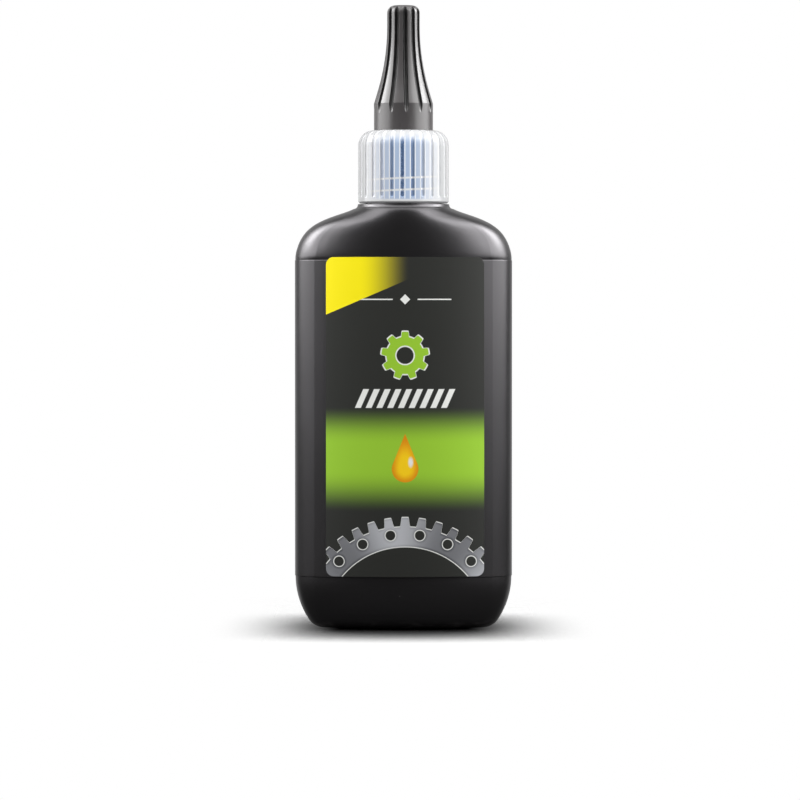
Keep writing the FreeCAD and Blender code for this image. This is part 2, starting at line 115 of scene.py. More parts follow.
class BottleFinish(bpy.types.PropertyGroup):
    """Satin black blow-moulded plastic"""

    color: colour("Plastic", "Colour of the black plastic", (0.003, 0.0028, 0.0028))
    worn_color: colour("Scuffs", "Colour of scuffed plastic on the foot", (0.05, 0.048, 0.047))
    dust_color: colour("Dust", "Colour of the fine dust specks", (0.12, 0.115, 0.11))
    sheen_color: colour("Sheen", "Tint of the plastic's reflection", (0.98, 0.94, 1.0))
    roughness: share("Roughness", "Roughness of the satin skin", 0.34)
    specular: share("Specular", "Strength of the plastic's reflection", 1.0)
    gloss: share("Gloss", "Strength of the skin's own gloss", 0.45)
    edge_radius: length("Edge", "Rounding of its fine edges", 0.25 * MM)
    grain_size: length("Grain", "Size of the mould's fine grain", 0.35 * MM)
    grain_depth: length("Grain depth", "Height of the fine grain", 0.0022 * MM)
    ripple_size: length("Ripple", "Size of the slow unevenness of the blown wall", 7.0 * MM)
    ripple_depth: length("Ripple depth", "Height of the slow unevenness", 0.02 * MM)
    seam_width: length("Seam", "Width of the mould's parting line", 0.35 * MM)
    seam_depth: length("Seam height", "Height of the parting line", 0.05 * MM)
    scuff_height: length("Scuff height", "How far up the foot is scuffed", 2.6 * MM)
    scuff_size: length("Scuff size", "Size of the scuff marks", 1.6 * MM)
    scuff_span: span("Scuff span", "Noise where a scuff starts and is full", (0.5, 0.68))
    scuff_roughness: share("Scuff roughness", "Roughness that a scuff adds", 0.14)
    handled_size: length("Handling", "Size of the patches that handling leaves", 18.0 * MM)
    handled_spread: share("Handling spread", "Spread of the roughness over the patches", 0.1)
    dust_spacing: length("Dust spacing", "Mean distance between places for a speck", 5.0 * MM)
    dust_span: span("Dust span", "Random value where a speck starts and is full", (0.72, 0.74))
    dust_size: length("Dust size", "Radius of a dust speck", 0.13 * MM)


class LabelPrint(bpy.types.PropertyGroup):
    """Printed film on the front"""

    field_color: colour("Field", "Dark ground of the print", (0.027, 0.028, 0.025))
    band_color: colour("Band", "Green of the fading band", (0.31, 0.575, 0.032))
    flash_color: colour("Corner", "Yellow of the corner flash", (0.96, 0.82, 0.0))
    line_color: colour("Lines", "White of the rules and outlines", (0.82, 0.83, 0.8))
    steel_color: colour("Steel", "Light grey of the chain ring", (0.5, 0.51, 0.54))
    steel_shade: colour("Steel shade", "Dark grey of the chain ring", (0.06, 0.062, 0.07))
    oil_color: colour("Oil", "Yellow inside the drop", (0.96, 0.62, 0.004))
    oil_shade: colour("Oil shade", "Amber at the drop's rim", (0.75, 0.26, 0.0))
    roughness: share("Roughness", "Roughness of the film", 0.46)
    specular: share("Specular", "Strength of the film's reflection", 0.3)
    grain_size: length("Film grain", "Size of the film's grain", 0.5 * MM)
    grain_depth: length("Film grain depth", "Height of the film's grain", 0.0015 * MM)
    edge_radius: length("Film edge", "Rounding of the film's cut edge", 0.06 * MM)
    edge_blur: length("Print blur", "Softness of a printed edge", 0.12 * MM)
    handled_size: length("Handling", "Size of the patches that handling leaves", 12.0 * MM)
    handled_spread: share("Handling spread", "Spread of the roughness over the patches", 0.08)

    band_top: length("Band top", "Height where the green starts", 43.5 * MM)
    band_full_top: length("Band full top", "Height where the green is full", 34.0 * MM)
    band_full_foot: length("Band full foot", "Height where the green begins to fade", 27.2 * MM)
    band_foot: length("Band foot", "Height where the green has gone", 16.5 * MM)

    flash_height: length("Corner height", "Height of the flash at the left edge", 67.0 * MM)
    flash_slope: angle("Corner slope", "Rise of the flash's lower edge", 23.2)
    flash_solid: length("Corner solid", "Place across where the yellow is still full", -12.0 * MM)
    flash_end: length("Corner end", "Place across where the yellow has gone", 1.2 * MM)

    rule_height: length("Rule height", "Height of the thin rules", 70.9 * MM)
    rule_inner: length("Rule inner end", "Inner end of each rule from the middle", 3.2 * MM)
    rule_outer: length("Rule outer end", "Outer end of each rule from the middle", 11.8 * MM)
    rule_width: length("Rule width", "Width of the thin rules", 0.3 * MM)
    diamond_size: length("Diamond", "Half diagonal of the mark between the rules", 1.3 * MM)

    cog_height: length("Cog height", "Height of the cog's middle", 56.6 * MM)
    cog_radius: length("Cog radius", "Pitch radius of the cog", 5.4 * MM)
    cog_bore: length("Cog bore", "Radius of the cog's bore", 2.5 * MM)
    cog_depth: length("Cog teeth", "Height of the cog's teeth", 1.3 * MM)
    cog_teeth: count("Teeth", "Number of teeth on the cog", 9)
    outline: length("Outline", "Width of the white outline", 0.32 * MM)

    stripe_foot: length("Stripe foot", "Lower end of the slanted stripes", 43.2 * MM)
    stripe_top: length("Stripe top", "Upper end of the slanted stripes", 48.0 * MM)
    stripe_count: count("Stripes", "Odd number of stripes in the row", 9)
    stripe_pitch: length("Stripe pitch", "Distance from stripe to stripe", 2.75 * MM)
    stripe_width: length("Stripe width", "Width of a stripe", 1.5 * MM)
    stripe_lean: angle("Stripe lean", "Lean of the stripes", 24.0)

    drop_foot: length("Drop foot", "Height of the drop's lowest point", 24.2 * MM)
    drop_radius: length("Drop radius", "Radius of the drop's bulb", 3.4 * MM)
    drop_height: length("Drop length", "Length of the drop from foot to tip", 12.4 * MM)
    drop_tail: share("Drop tail", "How slowly the shading changes along the tail", 0.45)
    oil_span: span("Oil span", "Radii where the amber starts and is full", (0.35, 1.05))
    glint_side: length("Glint side", "Place of the glint beside the bulb's middle", 1.428 * MM)
    glint_rise: length("Glint rise", "Place of the glint over the bulb's middle", 1.7 * MM)
    glint_radius: length("Glint radius", "Half width of the glint", 0.578 * MM)
    glint_blur: length("Glint blur", "Softness of the glint", 0.476 * MM)
    glint_squeeze: share("Glint squeeze", "Width of the glint over its height", 0.5)

    ring_drop: length("Ring drop", "Depth of the chain ring's middle below the label", 13.0 * MM)
    ring_radius: length("Ring radius", "Pitch radius of the chain ring", 27.2 * MM)
    ring_width: length("Ring width", "Width of the chain ring's rim", 6.6 * MM)
    ring_depth: length("Ring teeth", "Height of the chain ring's teeth", 2.4 * MM)
    ring_teeth: count("Ring tooth count", "Number of teeth on the chain ring", 40)
    hole_radius: length("Hole radius", "Radius of the holes in the rim", 1.25 * MM)
    hole_count: count("Holes", "Number of holes round the rim", 20)
    ring_line: length("Ring line", "Width of the bright line along the ring's edge", 0.22 * MM)
    bevel_width: length("Bevel", "Distance of the bevel's middle from the ring's edge", 0.55 * MM)
    bevel_blur: length("Bevel blur", "Width over which the bevel fades", 0.7 * MM)
    bevel_light: share("Bevel light", "Share of the steel's light that fades at its bevel", 0.25)
    gleam_count: count("Gleams", "Number of gleams round the whole ring", 5)
    gleam_turn: angle("Gleam turn", "Turn of the gleams round the ring", 34.4)
    gleam_power: ratio("Gleam power", "How narrow the gleams are", 1.5)


class ClosureFinish(bpy.types.PropertyGroup):
    """Milky see-through plastic"""

    color: colour("Milk", "Colour of the milky plastic at a slant", (0.405, 0.408, 0.414))
    # Painted light: the grooves get a paler colour at a slant, which lifts their shade
    groove_painted_light: colour("Groove milk", "Colour of the grooves at a slant", (0.76, 0.765, 0.775))
    land_color: colour("Land", "Colour of a land seen straight on", (0.5, 0.63, 0.86))
    thin_color: colour("Thin wall", "Colour of a groove seen straight on", (0.28, 0.46, 0.84))
    roughness: share("Roughness", "Roughness of the moulded skin", 0.12)
    land_cover: share("Land cover", "How far a land between grooves hides what is behind", 0.78)
    groove_cover: share("Groove cover", "How far a groove hides what is behind", 0.39)
    lining_cover: share("Lining cover", "How far the inner wall hides what is behind", 0.3)
    clear_power: ratio("Clearness", "How fast the plastic turns milky at a slant", 7.0)
    thread_cover: share("Thread cover", "How far the inner thread hides what is behind", 0.95)
    top_round: length("Rounding", "Radius of the rounded top edge", 3.8 * MM)
    groove_depth: length("Groove depth", "Depth of the grip grooves", 0.4 * MM)
    groove_span: span("Groove span", "Depth shares where a groove starts and is full", (0.05, 0.45))
    groove_count: count("Grooves", "Number of grip grooves", 27)
    groove_turn: angle("Groove turn", "Turn of the grooves about the axis", 1.8)
    # Painted highlight: a bright line along each rim of a groove, paler and less see-through
    highlight_middle: length("Rim line", "Distance of the bright rim from a groove's middle", 0.66 * MM)
    highlight_width: length("Rim width", "Width of the bright rim of a groove", 0.26 * MM)
    highlight_cover: share("Rim cover", "How far a groove's rim hides what is behind", 0.95)
    skirt: length("Skirt", "Height of the plain skirt under the grooves", 1.2 * MM)
    wall: length("Wall", "Thickness of the skirt", 1.3 * MM)
    thread_rise: length("Thread rise", "Height of the thread where it turns milky", 0.2 * MM)
    thread_foot: length("Thread foot", "Start of the thread over the closure's foot", 2.55 * MM)
    thread_pitch: length("Thread pitch", "Rise of the inner thread in one turn", 3.0 * MM)
    thread_width: length("Thread width", "Width of the line in front of the thread", 0.5 * MM)
    # Colour of the thick wall, also used for the painted highlight along the groove rims
    thick_and_highlight_color: colour("Thick wall", "Colour in front of the inner thread", (0.92, 0.93, 0.94))
    thick_cover: share("Thick cover", "How far the wall hides what is behind at the thread", 0.8)
    edge_radius: length("Edge", "Rounding of its fine edges", 0.2 * MM)
    ior: ratio("Index", "Refractive index of the plastic", 1.5)
    flow_spread: share("Flow spread", "Spread of the roughness over the flow marks", 0.08)
    grain_size: length("Flow", "Size of the flow marks in the plastic", 3.0 * MM)
    grain_depth: length("Flow depth", "Height of the flow marks", 0.004 * MM)


class CapFinish(bpy.types.PropertyGroup):
    """Dark grey moulded plastic"""

    color: colour("Plastic", "Colour of the dark plastic", (0.05, 0.0455, 0.0462))
    gloss: share("Gloss", "Strength of the skin's own gloss", 0.85)
    coat_ior: ratio("Gloss index", "Refractive index of the gloss", 1.5)
    collar_roughness: share("Collar roughness", "Roughness of the handled collar", 0.4)
    collar_height: length("Collar", "Height of the collar", 6.9 * MM)
    crease_blur: length("Crease blur", "Softness of the change over the collar", 0.5 * MM)
    # Painted shade: colour deep in the flutes, where nearby walls close in
    flute_painted_shade: colour("Flutes", "Colour deep in the flutes", (0.001, 0.0009, 0.0009))
    flute_reach: length("Flute shade", "How near a wall has to be to shade a flute", 1.2 * MM)
    land_span: span("Land span", "Free share where a land starts and is full", (0.7, 0.98))
    rub_size: length("Rub size", "Size of the rubbed marks", 1.2 * MM)
    rub_span: span("Rub span", "Noise where a rubbed mark starts and is full", (0.45, 0.75))
    rub_roughness: share("Rub roughness", "Roughness that rubbing adds", 0.08)
    worn_color: colour("Rubbed", "Colour of the rubbed lands", (0.058, 0.053, 0.054))
    roughness: share("Roughness", "Roughness of the moulded skin", 0.33)
    specular: share("Specular", "Strength of the plastic's reflection", 0.5)
    grain_size: length("Grain", "Size of the mould's grain", 0.3 * MM)
    grain_depth: length("Grain depth", "Height of the grain", 0.0022 * MM)
    edge_radius: length("Edge", "Rounding of its fine edges", 0.18 * MM)
    gate_radius: length("Gate", "Radius of the moulding gate's mark on top", 0.8 * MM)
    gate_depth: length("Gate depth", "Depth of the gate's mark", 0.12 * MM)
    gate_reach: length("Gate reach", "How far below the top the mark ends", 0.5 * MM)
    gate_blur: length("Gate blur", "Softness of the mark's edge", 0.2 * MM)


class WasherFinish(bpy.types.PropertyGroup):
    """White closed-cell foam"""

    color: colour("Foam", "Colour of the foam", (0.78, 0.78, 0.75))
    # Painted shade: colour in the sunken middles of the foam's cells
    pore_painted_shade: colour("Pores", "Colour of the foam's pores", (0.58, 0.58, 0.55))
    roughness: share("Roughness", "Roughness of the foam", 0.85)
    edge_radius: length("Edge", "Rounding of the foam's edges", 0.15 * MM)
    pore_size: length("Pore", "Size of the foam's cells", 0.35 * MM)
    pore_depth: length("Pore depth", "Depth of the foam's cells", 0.04 * MM)
    pore_span: span("Pore span", "Distance in a cell where the foam starts and is full", (0.2, 0.8))


class Studio(bpy.types.PropertyGroup):
    """Plain white studio"""

    camera_distance: length("Camera distance", "Distance of the camera from the bottle", 1.232)
    camera_height: length("Camera height", "Height of the camera", 83.0 * MM)
    aim_height: length("Aim height", "Height of the point in the middle of the picture", 58.6 * MM)
    camera_side: length("Camera side", "Place of the camera across the bottle", -0.9 * MM)
    frame_width: length("Frame width", "Width of the picture at the bottle's axis", 206.4 * MM)
    floor_radius: length("Floor", "Radius of the floor", 0.14)
    floor_fade: length("Floor fade", "Radius where the floor begins to fade into white", 0.03)
    side_fade: length("Side fade", "Distance aside where the floor begins to fade", 0.016)
    side_end: length("Side end", "Distance aside where the floor has faded", 0.05)
    floor_color: colour("Floor colour", "Colour of the floor in reflections", (0.03, 0.03, 0.03))
    floor_seen: colour("Floor seen", "Colour of the floor in the picture", (0.45, 0.45, 0.45))
    shade_reach: length("Shade reach", "How far the contact shade spreads on the floor", 0.05)
    shade_depth: ratio("Shade depth", "How fast the contact shade deepens", 9.0)
    ambient: share("Ambient", "Light from all round", 0.34)
    backdrop: share("Backdrop", "Light from the white backdrop, in reflections", 0.5)
    backdrop_span: span("Backdrop span", "How far back the backdrop starts and is full", (0.6, 0.9))
    room: share("Room", "Light from the dark room behind the camera, in reflections", 0.03)
    left_power: power("Left lamp", "Power of the left softbox", 2.15)
    right_power: power("Right lamp", "Power of the right softbox", 2.6)
    top_power: power("Top lamp", "Power of the softbox above", 1.9)
    side_distance: length("Side distance", "Distance of the side softboxes", 0.34)
    left_forward: length("Left forward", "How far the left softbox stands forward", 0.02)
    right_forward: length("Right forward", "How far the right softbox stands forward", 0.06)
    side_height: length("Side height", "Height of the side softboxes' middle", 0.27)
    side_width: length("Side width", "Width of a side softbox", 0.5)
    side_tall: length("Side tall", "Height of a side softbox", 0.4)
    rim_power: power("Rim lamps", "Power of each small lamp beside the shoulders", 0.46)
    rim_side: length("Rim side", "Distance of the rim lamps to the side", 0.3)
    rim_back: length("Rim back", "How far back the rim lamps stand", 0.04)
    rim_height: length("Rim height", "Height of the rim lamps", 0.28)
    rim_size: length("Rim size", "Width of a rim lamp", 0.14)
    top_height: length("Top height", "Height of the softbox above", 0.46)
    top_forward: length("Top forward", "How far forward the softbox above hangs", 0.08)
    top_width: length("Top width", "Width of the softbox above", 0.7)
    top_deep: length("Top depth", "Depth of the softbox above", 0.5)


GROUPS = {
    "bottle_finish": BottleFinish,
    "label_print": LabelPrint,
    "closure_finish": ClosureFinish,
    "cap_finish": CapFinish,
    "washer_finish": WasherFinish,
    "bottle_studio": Studio,
}


# Shader maths

def find_socket(sockets, key):
    """A socket by its place, its identifier or its name."""
    if isinstance(key, int):
        return sockets[key]
    for socket in sockets:
        if socket.identifier == key:
            return socket
    return sockets[key]


def add_node(tree, kind, settings, inputs, output=0):
    """Adds a node, sets it up, fills its sockets and gives back one of its outputs."""
    node = tree.nodes.new(kind)
    for name, setting in settings.items():
        setattr(node, name, setting)
    for key, value in inputs.items():
        socket = find_socket(node.inputs, key)
        if isinstance(value, Value):
            tree.links.new(value.socket, socket)
        elif socket.type == "RGBA":
            socket.default_value = (*value, 1.0)
        else:
            socket.default_value = value
    return Value(find_socket(node.outputs, output)) if node.outputs else node


class Value:
    """A node's output, with Python's operators for shader maths."""

    def __init__(self, socket):
        self.socket = socket

    def maths(self, operation, *values, clamp=False):
        """A Math node on the given numbers and values."""
        settings = {"operation": operation, "use_clamp": clamp}
        return add_node(self.socket.id_data, "ShaderNodeMath", settings, dict(enumerate(values)))

    def __add__(self, other):
        return self.maths("ADD", self, other)

    def __radd__(self, other):
        return self.maths("ADD", other, self)

    def __sub__(self, other):
        return self.maths("SUBTRACT", self, other)

    def __rsub__(self, other):
        return self.maths("SUBTRACT", other, self)

    def __mul__(self, other):
        return self.maths("MULTIPLY", self, other)

    def __rmul__(self, other):
        return self.maths("MULTIPLY", other, self)

    def __truediv__(self, other):
        return self.maths("DIVIDE", self, other)

    def __rtruediv__(self, other):
        return self.maths("DIVIDE", other, self)

    def __pow__(self, other):
        return self.maths("POWER", self, other)

    def __neg__(self):
        return self.maths("MULTIPLY", self, -1.0)

    def __abs__(self):
        return self.maths("ABSOLUTE", self)

    def cosine(self):
        return self.maths("COSINE", self)

    def least(self, other):
        return self.maths("MINIMUM", self, other)

    def most(self, other):
        return self.maths("MAXIMUM", self, other)

    def wrapped(self, period):
        """Distance to the nearest whole multiple of a period, with its sign."""
        return self.maths("WRAP", self, period / 2, -period / 2)

    def rising(self, low, high):
        """Smooth rise from nothing at low to one at high."""
        settings = {"interpolation_type": "SMOOTHSTEP"}
        inputs = {"Value": self, "From Min": low, "From Max": high}
        return add_node(self.socket.id_data, "ShaderNodeMapRange", settings, inputs, "Result")

    def inside(self, blur):
        """One where a signed distance is below nothing, none above it, over a soft edge."""
        return self.maths("MULTIPLY_ADD", self, -1.0 / blur, 0.5, clamp=True)


def hypotenuse(a, b):
    """Length of the long side over two short ones."""
    return (a * a + b * b) ** 0.5


def uneven(mean, spread, pattern):
    """A value that varies about its mean with a pattern."""
    return mean + spread * (pattern - 0.5)


class Finish:
    """A material that is being made, with its object coordinates at hand."""

    def __init__(self, name):
        self.material = bpy.data.materials.new(name)
        self.material.use_nodes = True
        self.tree = self.material.node_tree
        self.tree.nodes.clear()
        self.place = self.node("ShaderNodeTexCoord", {}, {}, "Object")
        self.x, self.y, self.z = (
            self.node("ShaderNodeSeparateXYZ", {}, {"Vector": self.place}, axis) for axis in "XYZ"
        )

    def node(self, kind, settings, inputs, output=0):
        """Any node of this material."""
        return add_node(self.tree, kind, settings, inputs, output)

    def noise(self, size, detail=2.0, stretch=(1.0, 1.0, 1.0)):
        """Noise of a given size in metres, stretched along the axes."""
        scale = tuple(1.0 / (size * s) for s in stretch)
        inputs = {"Vector": self.place, "Scale": scale}
        point = self.node("ShaderNodeMapping", {"vector_type": "POINT"}, inputs)
        inputs = {"Vector": point, "Scale": 1.0, "Detail": detail}
        return self.node("ShaderNodeTexNoise", {}, inputs, "Fac")

    def cells(self, size, output):
        """Voronoi cells of a given size in metres."""
        inputs = {"Vector": self.place, "Scale": 1.0 / size}
        return self.node("ShaderNodeTexVoronoi", {}, inputs, output)

    def blend(self, factor, below, above):
        """One colour over another by a factor."""
        inputs = {"Factor_Float": factor, "A_Color": below, "B_Color": above}
        return self.node("ShaderNodeMix", {"data_type": "RGBA"}, inputs, "Result_Color")

    def open_side(self, reach):
        """Share of the view out of a point that the piece itself leaves free."""
        settings = {"samples": SHADE_SAMPLES, "only_local": True}
        return self.node("ShaderNodeAmbientOcclusion", settings, {"Distance": reach}, "AO")

    def relief(self, height, edge_radius):
        """Normal from a height in metres, over edges that are rounded by a radius."""
        rounded = self.node("ShaderNodeBevel", {"samples": EDGE_SAMPLES}, {"Radius": edge_radius})
        inputs = {"Height": height, "Strength": 1.0, "Distance": 1.0, "Normal": rounded}
        return self.node("ShaderNodeBump", {}, inputs)

    def surface(self, inputs):
        """Ends the material with one Principled shader."""
        shader = self.node("ShaderNodeBsdfPrincipled", {}, inputs)
        self.node("ShaderNodeOutputMaterial", {}, {"Surface": shader})
        return self.material


def wear(node_name, material):
    """Puts a finish on a piece."""
    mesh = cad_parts[node_name].data
    mesh.materials.clear()
    mesh.materials.append(material)


# Finishes

def satin_black(look):
    """Black plastic with fine grain, a parting line, dust and a scuffed foot."""
    skin = Finish("satin_black")
    grain = skin.noise(look.grain_size)
    ripple = skin.noise(look.ripple_size, detail=0.0, stretch=(1.0, 1.0, 3.0))
    seam = (abs(skin.y) - look.seam_width / 2).inside(look.seam_width / 2)
    height = grain * look.grain_depth + ripple * look.ripple_depth + seam * look.seam_depth

    marks = skin.noise(look.scuff_size, detail=4.0, stretch=(3.0, 3.0, 1.0))
    foot = 1.0 - skin.z.rising(look.scuff_height / 4, look.scuff_height)
    scuffs = marks.rising(*look.scuff_span) * foot
    chosen = skin.cells(look.dust_spacing, "Color")
    chosen = skin.node("ShaderNodeSeparateColor", {}, {"Color": chosen}, "Red")
    chosen = chosen.rising(*look.dust_span)
    distance = skin.cells(look.dust_spacing, "Distance") * look.dust_spacing
    dust = chosen * (distance - look.dust_size).inside(look.dust_size)

    color = skin.blend(scuffs, look.color, look.worn_color)
    color = skin.blend(dust, color, look.dust_color)
    handled = skin.noise(look.handled_size, detail=3.0)
    roughness = uneven(look.roughness, look.handled_spread, handled) + look.scuff_roughness * scuffs
    return skin.surface({
        "Base Color": color,
        "Roughness": roughness,
        "Specular IOR Level": look.specular,
        "Specular Tint": look.sheen_color,
        "Coat Weight": look.gloss,
        "Coat Roughness": look.roughness,
        "Normal": skin.relief(height, look.edge_radius),
    })


def corner_flash(look, u, v, left):
    """Yellow corner that fades across the label."""
    edge = (u - left) * math.tan(look.flash_slope) + look.flash_height
    above = ((edge - v) * math.cos(look.flash_slope)).inside(look.edge_blur)
    return above * (1.0 - u.rising(look.flash_solid, look.flash_end))


def rules(look, u, v):
    """Two thin rules with a small diamond between them."""
    middle = (look.rule_inner + look.rule_outer) / 2
    reach = (look.rule_outer - look.rule_inner) / 2
    along = abs(abs(u) - middle) - reach
    across = abs(v - look.rule_height) - look.rule_width / 2
    diamond = abs(u) + abs(v - look.rule_height) - look.diamond_size
    return along.most(across).least(diamond).inside(look.edge_blur)


def toothed(radius, turn, pitch_radius, depth, teeth):
    """Signed distance to a toothed outline round a middle."""
    tooth = (turn * teeth).cosine().rising(-TOOTH_FLANK, TOOTH_FLANK)
    return radius - (pitch_radius - depth / 2) - tooth * depth


def cog(look, u, v):
    """Signed distance to a small cog with a bore."""
    rise = v - look.cog_height
    radius = hypotenuse(u, rise)
    turn = u.maths("ARCTAN2", u, rise)
    rim = toothed(radius, turn, look.cog_radius, look.cog_depth, look.cog_teeth)
    return rim.most(look.cog_bore - radius)


def stripes(look, u, v):
    """A row of slanted stripes."""
    middle = (look.stripe_foot + look.stripe_top) / 2
    leaning = u - (v - middle) * math.tan(look.stripe_lean)
    stripe = abs(leaning.wrapped(look.stripe_pitch)) - look.stripe_width / 2
    tall = abs(v - middle) - (look.stripe_top - look.stripe_foot) / 2
    row = abs(leaning) - look.stripe_pitch * look.stripe_count / 2
    return stripe.most(tall).most(row).inside(look.edge_blur)


def oil_drop(look, u, v):
    """Signed distance to a drop with a round bulb and a pointed tip."""
    middle = look.drop_foot + look.drop_radius
    tip = look.drop_foot + look.drop_height
    half_angle = math.asin(look.drop_radius / (tip - middle))
    bulb = hypotenuse(u, v - middle) - look.drop_radius
    flank = (abs(u) - (tip - v) * math.tan(half_angle)) * math.cos(half_angle)
    neck = flank.most(middle + look.drop_radius * math.sin(half_angle) - v)
    return bulb.least(neck)


def oil_shading(film, look, u, v):
    """Yellow oil that turns amber towards the rim, with a small glint."""
    rise = v - look.drop_foot - look.drop_radius
    bulge = hypotenuse(u, rise.least(rise * look.drop_tail)) / look.drop_radius
    oil = film.blend(bulge.rising(*look.oil_span), look.oil_color, look.oil_shade)
    glint = hypotenuse(u - look.glint_side, (rise - look.glint_rise) * look.glint_squeeze)
    glint = (glint - look.glint_radius).inside(look.glint_blur)
    return film.blend(glint, oil, look.line_color)


def chain_ring(look, radius, turn):
    """Signed distance to a chain ring with a row of holes."""
    rim = toothed(radius, turn, look.ring_radius, look.ring_depth, look.ring_teeth)
    rim = rim.most(look.ring_radius - look.ring_width - radius)
    hole_circle = look.ring_radius - look.ring_width / 2
    spacing = FULL_TURN / look.hole_count
    aside = (turn + spacing / 2).wrapped(spacing) * hole_circle
    hole = hypotenuse(aside, radius - hole_circle) - look.hole_radius
    return rim.most(-hole)


def steel_shading(film, look, ring, turn):
    """Grey steel with gleams round the ring and a bright line along its edge."""
    wave = (turn * look.gleam_count + look.gleam_turn).cosine()
    gleam = (wave * 0.5 + 0.5) ** look.gleam_power
    bevel = (ring + look.bevel_width).inside(look.bevel_blur)
    light = gleam * (1.0 - look.bevel_light) + look.bevel_light * bevel
    steel = film.blend(light, look.steel_shade, look.steel_color)
    return film.blend((ring + look.ring_line).inside(look.edge_blur), look.line_color, steel)


def printed_film(look):
    """Dark film with a green band, a yellow corner and plain ornaments."""
    low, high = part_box("front_label")
    film = Finish("printed_film")
    u = film.x - (low.x + high.x) / 2
    v = film.z - low.z
    blur = look.edge_blur
    white = look.line_color

    band = v.rising(look.band_foot, look.band_full_foot)
    band = band * (1.0 - v.rising(look.band_full_top, look.band_top))
    color = film.blend(band, look.field_color, look.band_color)
    flash = corner_flash(look, u, v, (low.x - high.x) / 2)
    color = film.blend(flash, color, look.flash_color)
    color = film.blend(rules(look, u, v) * (1.0 - flash), color, white)
    color = film.blend(stripes(look, u, v), color, white)

    badge = cog(look, u, v)
    color = film.blend((badge - look.outline).inside(blur), color, white)
    color = film.blend(badge.inside(blur), color, look.band_color)

    color = film.blend(oil_drop(look, u, v).inside(blur), color, oil_shading(film, look, u, v))

    rise = v + look.ring_drop
    turn = u.maths("ARCTAN2", u, rise)
    ring = chain_ring(look, hypotenuse(u, rise), turn)
    color = film.blend(ring.inside(blur), color, steel_shading(film, look, ring, turn))

    grain = film.noise(look.grain_size)
    handled = film.noise(look.handled_size, detail=3.0)
    return film.surface({
        "Base Color": color,
        "Roughness": uneven(look.roughness, look.handled_spread, handled),
        "Specular IOR Level": look.specular,
        "Normal": film.relief(grain * look.grain_depth, look.edge_radius),
    })


def thread_line(look, milk, turn, foot):
    """Where the inner thread of one and a half turns makes the wall thick."""
    over = milk.z - foot - (turn / FULL_TURN + 0.5) * look.thread_pitch
    first = abs(over)
    second = abs(over - look.thread_pitch).most(milk.y)
    return (first.least(second) - look.thread_width / 2).inside(look.thread_width / 2)


def grip_grooves(look, radius, turn, depth, grip):
    """Where a grip groove thins the wall, and where a painted highlight runs along its rims."""
    start, full = look.groove_span
    groove = depth.rising(start * look.groove_depth, full * look.groove_depth)
    aside = abs((turn - look.groove_turn).wrapped(FULL_TURN / look.groove_count)) * radius
    # Painted highlight along both rims of each groove
    rim = (abs(aside - look.highlight_middle) - look.highlight_width / 2).inside(look.highlight_width / 2)
    return groove * grip, rim * grip


def wall_cover(look, depth, groove, rim, thick, thread):
    """How far the closure's wall hides what is behind it."""
    skin = look.land_cover + (look.groove_cover - look.land_cover) * groove
    # The painted highlight along the groove rims hides more of what is behind
    skin = skin + (look.highlight_cover - look.land_cover) * rim * (1.0 - groove)
    skin = skin + (look.thick_cover - skin) * thick
    inner = look.lining_cover + (look.thread_cover - look.lining_cover) * thread
    lining = depth.rising(look.wall - look.thread_rise, look.wall)
    return skin + (inner - skin) * lining


def clearness(look, milk, outward):
    """One where the smooth outside is seen straight on, and less at a slant."""
    outward = milk.node("ShaderNodeCombineXYZ", {}, outward)
    turned = {"vector_type": "NORMAL", "convert_from": "OBJECT", "convert_to": "WORLD"}
    outward = milk.node("ShaderNodeVectorTransform", turned, {"Vector": outward})
    inputs = {"Blend": EVEN_BLEND, "Normal": outward}
    facing = milk.node("ShaderNodeLayerWeight", {}, inputs, "Facing")
    return (1.0 - facing) ** look.clear_power


def milky_plastic(look):
    """See-through milky plastic that is clearer where its wall is thin, with a painted highlight
    along the groove rims and painted light in the grooves at a slant.
    """
    low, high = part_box("closure")
    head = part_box("tip_cap")[0].z
    milk = Finish("milky_plastic")
    radius = hypotenuse(milk.x, milk.y)
    turn = milk.x.maths("ARCTAN2", milk.y, milk.x)
    above = (milk.z - (head - look.top_round)).most(0.0)
    beyond = (radius - (high.x - look.top_round)).most(0.0)
    depth = look.top_round - hypotenuse(above, beyond)

    over_skirt = milk.z.rising(low.z + look.skirt / 2, low.z + look.skirt)
    grip = over_skirt * (milk.z - head).inside(look.edge_radius)
    groove, rim = grip_grooves(look, radius, turn, depth, grip)
    thread = depth.rising(look.wall + look.thread_rise, look.wall + 2 * look.thread_rise)
    thick = thread_line(look, milk, turn, low.z + look.thread_foot).most(1.0 - over_skirt)
    cover = wall_cover(look, depth, groove, rim, thick, thread)
    outward = {"X": milk.x * beyond / radius, "Y": milk.y * beyond / radius, "Z": above}
    clear = clearness(look, milk, outward)

    straight = milk.blend(groove, look.land_color, look.thin_color)
    # The thick wall and the painted highlight along the groove rims take the pale thick colour
    straight = milk.blend(thick.most(rim), straight, look.thick_and_highlight_color)
    # Painted light: the grooves are paler at a slant, lifting their shade
    slant = milk.blend(groove, look.color, look.groove_painted_light)
    flow = milk.noise(look.grain_size, stretch=(1.0, 1.0, 2.5))
    return milk.surface({
        "Base Color": milk.blend(clear * (1.0 - thread), slant, straight),
        "Roughness": uneven(look.roughness, look.flow_spread, flow),
        "IOR": look.ior,
        "Alpha": 1.0 - (1.0 - cover) * clear,
        "Normal": milk.relief(flow * look.grain_depth, look.edge_radius),
    })


